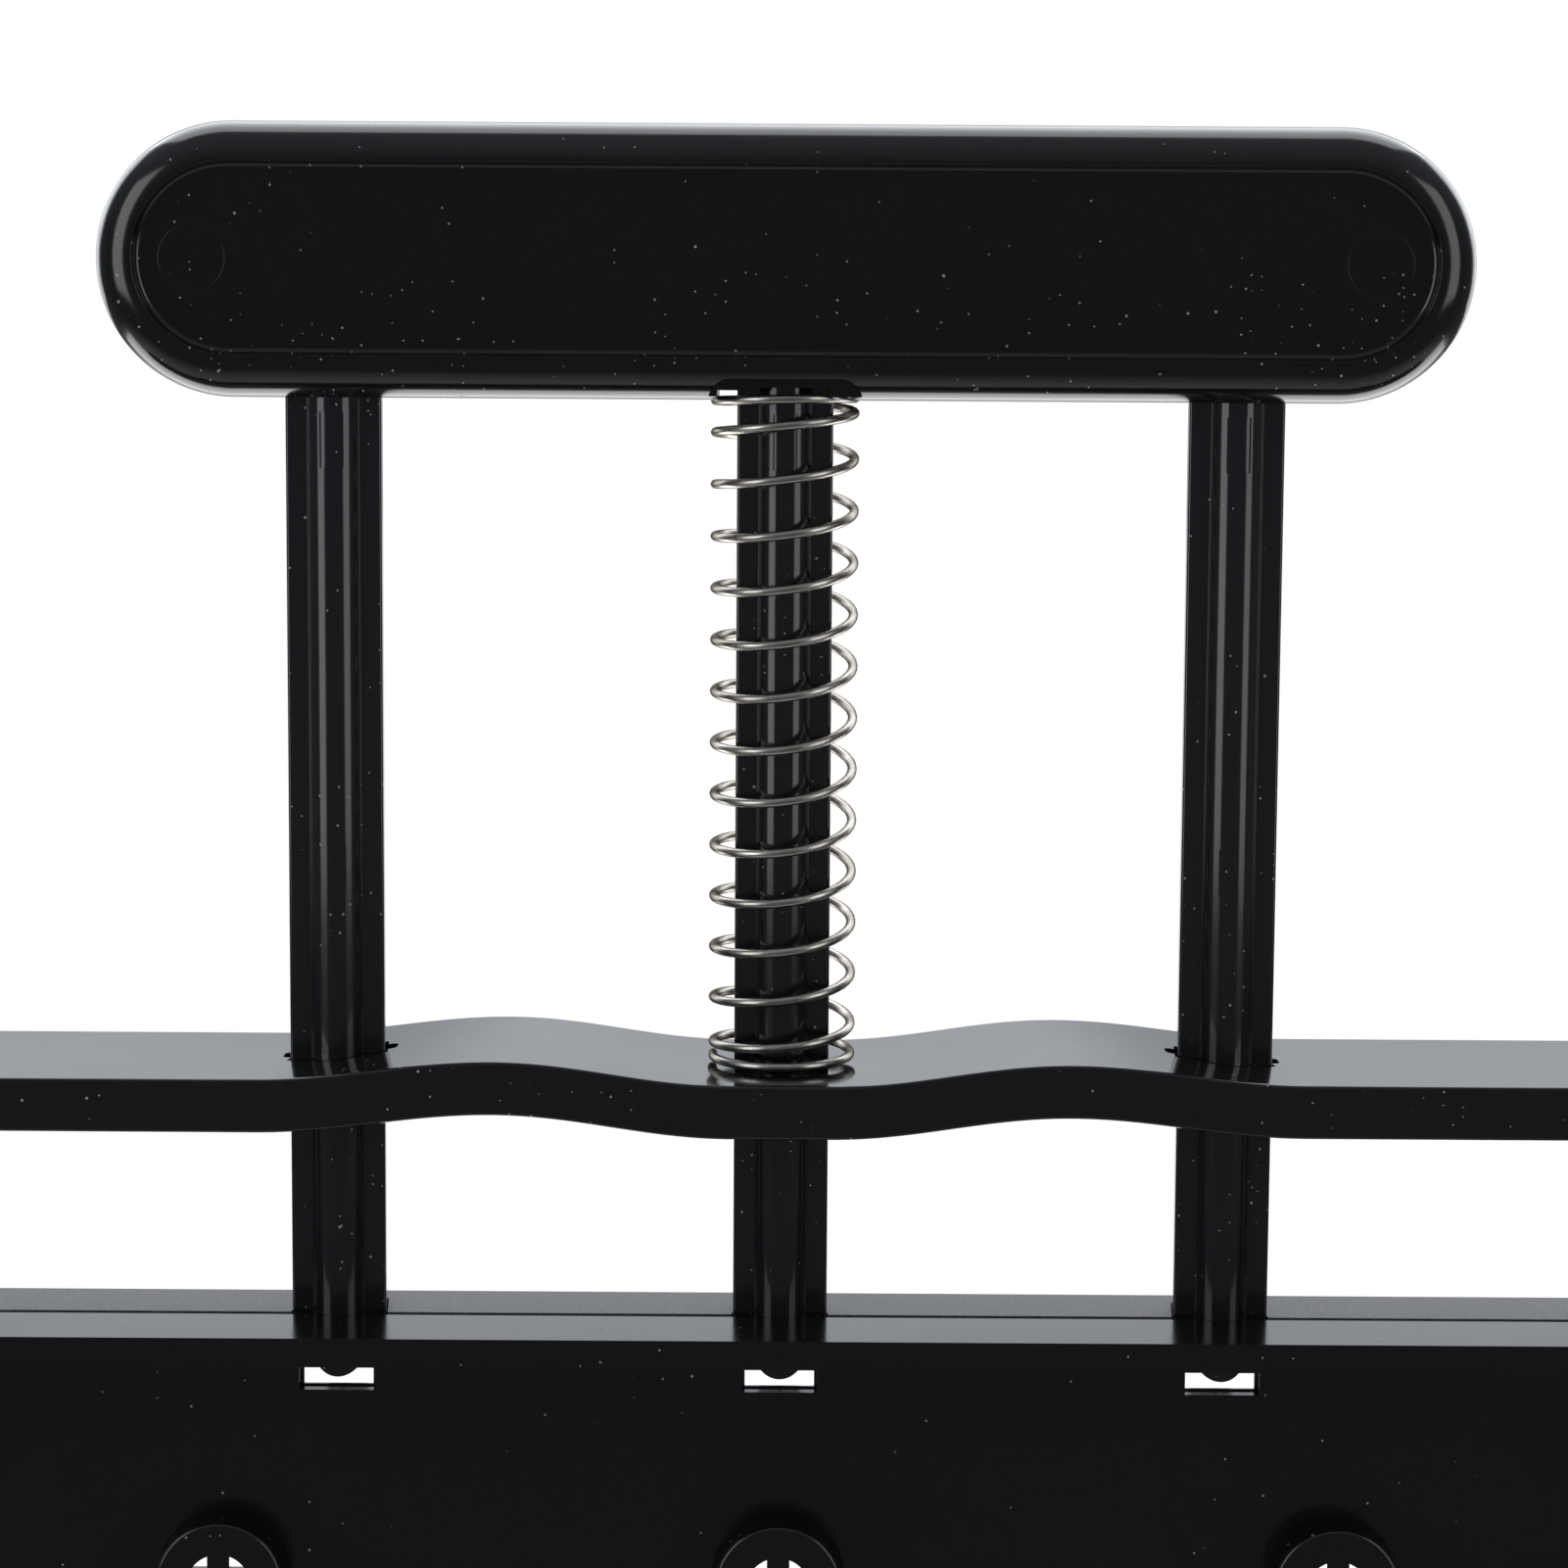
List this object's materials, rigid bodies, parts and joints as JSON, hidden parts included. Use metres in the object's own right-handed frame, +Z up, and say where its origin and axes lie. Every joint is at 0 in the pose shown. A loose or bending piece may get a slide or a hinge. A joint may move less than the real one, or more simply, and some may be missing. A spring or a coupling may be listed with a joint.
{
  "type": "soil blocker",
  "caption": "Hand-held soil blocker: an open-bottomed row of square cells, a sprung plunger with a wide rounded handle and posts, and a wavy finger bar.",
  "frame": {"origin": "centre of the open lower rim that stands on the bench", "axes": "+Z up, +X along the row of cells, the user faces -Y"},
  "size_m": [0.3044, 0.064, 0.2694],
  "materials": {
    "black_gloss_plastic": "moulded, glossy",
    "black_satin_plastic": "moulded, satin",
    "black_textured_plastic": "moulded, fine spark texture",
    "spring_steel": "bright drawn wire",
    "screw_steel": "plain zinc"
  },
  "bodies": {
    "frame": {"mould": "black_gloss_plastic", "left_leg": "black_gloss_plastic", "right_leg": "black_gloss_plastic", "finger_bar": "black_gloss_plastic", "bar_screws": "screw_steel", "leg_screws": "screw_steel", "spring": "spring_steel"},
    "plunger": {"handle_front": "black_gloss_plastic", "handle_back": "black_gloss_plastic", "handle_screws": "screw_steel", "left_post": "black_gloss_plastic", "centre_post": "black_gloss_plastic", "right_post": "black_gloss_plastic", "carrier_front": "black_gloss_plastic", "carrier_rail": "black_textured_plastic", "rail_screws": "screw_steel", "piston_screws": "screw_steel", "piston_1": "black_satin_plastic", "piston_2": "black_satin_plastic", "piston_3": "black_satin_plastic", "piston_4": "black_satin_plastic", "piston_5": "black_satin_plastic", "dibber_1": "black_satin_plastic", "dibber_2": "black_satin_plastic", "dibber_3": "black_satin_plastic", "dibber_4": "black_satin_plastic", "dibber_5": "black_satin_plastic"}
  },
  "joints": [
    {"name": "plunge", "type": "slide", "parent": "frame", "child": "plunger", "axis": [0, 0, -1], "range_m": [0, 0.048], "stiffness_N_per_m": 220, "springref_m": -0.035, "deforming": ["spring"]}
  ]
}
